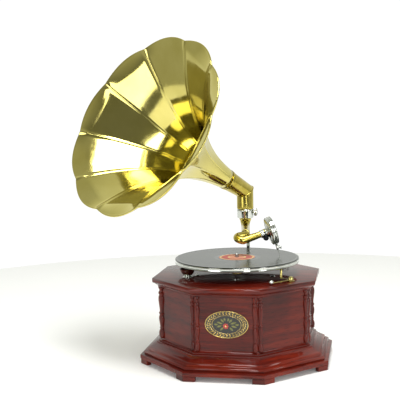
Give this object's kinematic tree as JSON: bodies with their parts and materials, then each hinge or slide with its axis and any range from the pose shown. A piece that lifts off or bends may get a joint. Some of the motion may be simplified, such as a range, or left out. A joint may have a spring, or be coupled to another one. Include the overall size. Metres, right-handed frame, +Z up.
{
  "type": "wind-up phonograph",
  "caption": "Table-top wind-up phonograph: octagonal wooden cabinet with turned corner columns, spring motor and crank, turntable with record, swinging tone arm and a petalled brass horn.",
  "frame": {"origin": "on the surface the cabinet stands on, straight below the turntable spindle, which is the centre of the octagonal cabinet", "axes": "+Z up along the turntable spindle; the front of the cabinet, with the oval plate, faces -Y; +X to the right seen from the front"},
  "size_m": [0.5195, 0.4213, 0.6484],
  "materials": {
    "mahogany": "gloss lacquered mahogany",
    "grip_wood": "turned and lacquered hardwood",
    "badge": "stamped brass with dark enamel",
    "horn_brass": "polished and lacquered brass",
    "arm_brass": "polished brass",
    "lever_brass": "polished brass",
    "gear_brass": "machined brass",
    "chrome": "polished chrome plate",
    "clamp_metal": "nickel plate",
    "steel": "machined steel",
    "spring_steel": "blued spring steel",
    "felt": "wool felt",
    "pad_felt": "wool felt",
    "shellac": "pressed shellac, grooved",
    "label_paper": "printed paper",
    "mica": "split mica",
    "rubber": "soft rubber"
  },
  "bodies": {
    "cabinet": {"base_board": "mahogany", "bracket_feet": "mahogany", "base_moulding": "mahogany", "front_panel": "mahogany", "crank_panel": "mahogany", "side_panels": "mahogany", "corner_balusters": "mahogany", "frieze": "mahogany", "top_board": "mahogany", "badge_plate": "badge", "needle_cup": "chrome", "rear_bracket": "chrome", "screws": "steel", "escutcheon": "lever_brass", "motor_plate": "steel", "motor_pillars": "steel", "lower_plate": "steel", "pillar_nuts": "steel", "click_spring": "steel", "spindle_bush": "gear_brass", "brake_bracket": "lever_brass", "collar": "chrome", "collar_screw": "chrome"},
    "crank": {"crank_shaft": "steel", "crank_pinion": "gear_brass", "crank_handle": "steel"},
    "grip": {"crank_grip": "grip_wood"},
    "arbor": {"winding_arbor": "steel", "arbor_gear": "gear_brass", "ratchet_wheel": "steel"},
    "click": {"click_pawl": "steel"},
    "barrel": {"spring_barrel": "gear_brass", "barrel_cover": "gear_brass", "mainspring": "spring_steel"},
    "turntable": {"spindle": "chrome", "worm_wheel": "gear_brass", "platter": "chrome", "platter_mat": "felt", "record": "shellac", "record_labels": "label_paper"},
    "governor": {"governor_shaft": "steel", "governor_weights": "gear_brass", "governor_springs": "steel", "friction_disc": "gear_brass"},
    "speed_control": {"speed_lever": "steel", "speed_knob": "chrome"},
    "brake": {"brake_lever": "lever_brass", "brake_pad": "pad_felt"},
    "arm": {"tonearm": "arm_brass"},
    "head": {"gooseneck": "arm_brass", "soundbox_clamp": "clamp_metal", "soundbox_case": "chrome", "soundbox_ring": "chrome", "gaskets": "rubber", "diaphragm": "mica", "stylus_bar": "steel", "needle": "chrome"},
    "needle_thumbscrew": {"needle_screw": "chrome"},
    "horn": {"horn_elbow": "horn_brass", "horn_bell": "horn_brass"}
  },
  "joints": [
    {"name": "platter_spin", "type": "hinge", "parent": "cabinet", "child": "turntable", "pos_m": [0, 0, 0.205], "axis": [0, 0, 1], "continuous": true},
    {"name": "barrel_turn", "type": "hinge", "parent": "cabinet", "child": "barrel", "pos_m": [-0.03712, 0.03712, 0.08], "axis": [0, 0, 1], "continuous": true},
    {"name": "governor_spin", "type": "hinge", "parent": "cabinet", "child": "governor", "pos_m": [0, 0.0248, 0.118], "axis": [1, 0, 0], "continuous": true},
    {"name": "crank_turn", "type": "hinge", "parent": "cabinet", "child": "crank", "pos_m": [-0.10394, 0.10394, 0.134], "axis": [-0.7071, 0.7071, 0], "continuous": true},
    {"name": "arbor_turn", "type": "hinge", "parent": "cabinet", "child": "arbor", "pos_m": [-0.03712, 0.03712, 0.12], "axis": [0, 0, 1], "continuous": true},
    {"name": "grip_spin", "type": "hinge", "parent": "crank", "child": "grip", "pos_m": [-0.14142, 0.14142, 0.052], "axis": [-0.7071, 0.7071, 0], "continuous": true},
    {"name": "click_lift", "type": "hinge", "parent": "cabinet", "child": "click", "pos_m": [-0.05112, 0.01287, 0.159], "axis": [0, 0, -1], "range_deg": [0, 8], "stiffness_Nm_per_rad": 0.05, "springref_deg": -2.86},
    {"name": "speed_turn", "type": "hinge", "parent": "cabinet", "child": "speed_control", "pos_m": [0.088, 0.092, 0.172], "axis": [0, 0, 1], "range_deg": [0, 5]},
    {"name": "brake_swing", "type": "hinge", "parent": "cabinet", "child": "brake", "pos_m": [0.116, -0.079, 0.176], "axis": [0, 0, 1], "range_deg": [-8, 10]},
    {"name": "tonearm_swing", "type": "hinge", "parent": "cabinet", "child": "arm", "pos_m": [-0.002, 0.142, 0.27], "axis": [0, 0, 1], "range_deg": [-17, 25]},
    {"name": "gooseneck_lift", "type": "hinge", "parent": "arm", "child": "head", "pos_m": [0.012, 0.045, 0.246], "axis": [0.1425, -0.9892, -0.0349], "range_deg": [0, 95]},
    {"name": "needle_screw_turn", "type": "hinge", "parent": "head", "child": "needle_thumbscrew", "pos_m": [0.07758, 0.03285, 0.21901], "axis": [0.8986, 0.3271, 0.2924], "range_deg": [0, 360]},
    {"name": "horn_swivel", "type": "hinge", "parent": "cabinet", "child": "horn", "pos_m": [-0.002, 0.142, 0.287], "axis": [0, 0, 1], "range_deg": [-40, 40]}
  ],
  "couplings": [
    {"joint": "barrel_turn", "follows": "platter_spin", "ratio": -0.25},
    {"joint": "governor_spin", "follows": "platter_spin", "ratio": 12},
    {"joint": "arbor_turn", "follows": "crank_turn", "ratio": 0.5}
  ]
}
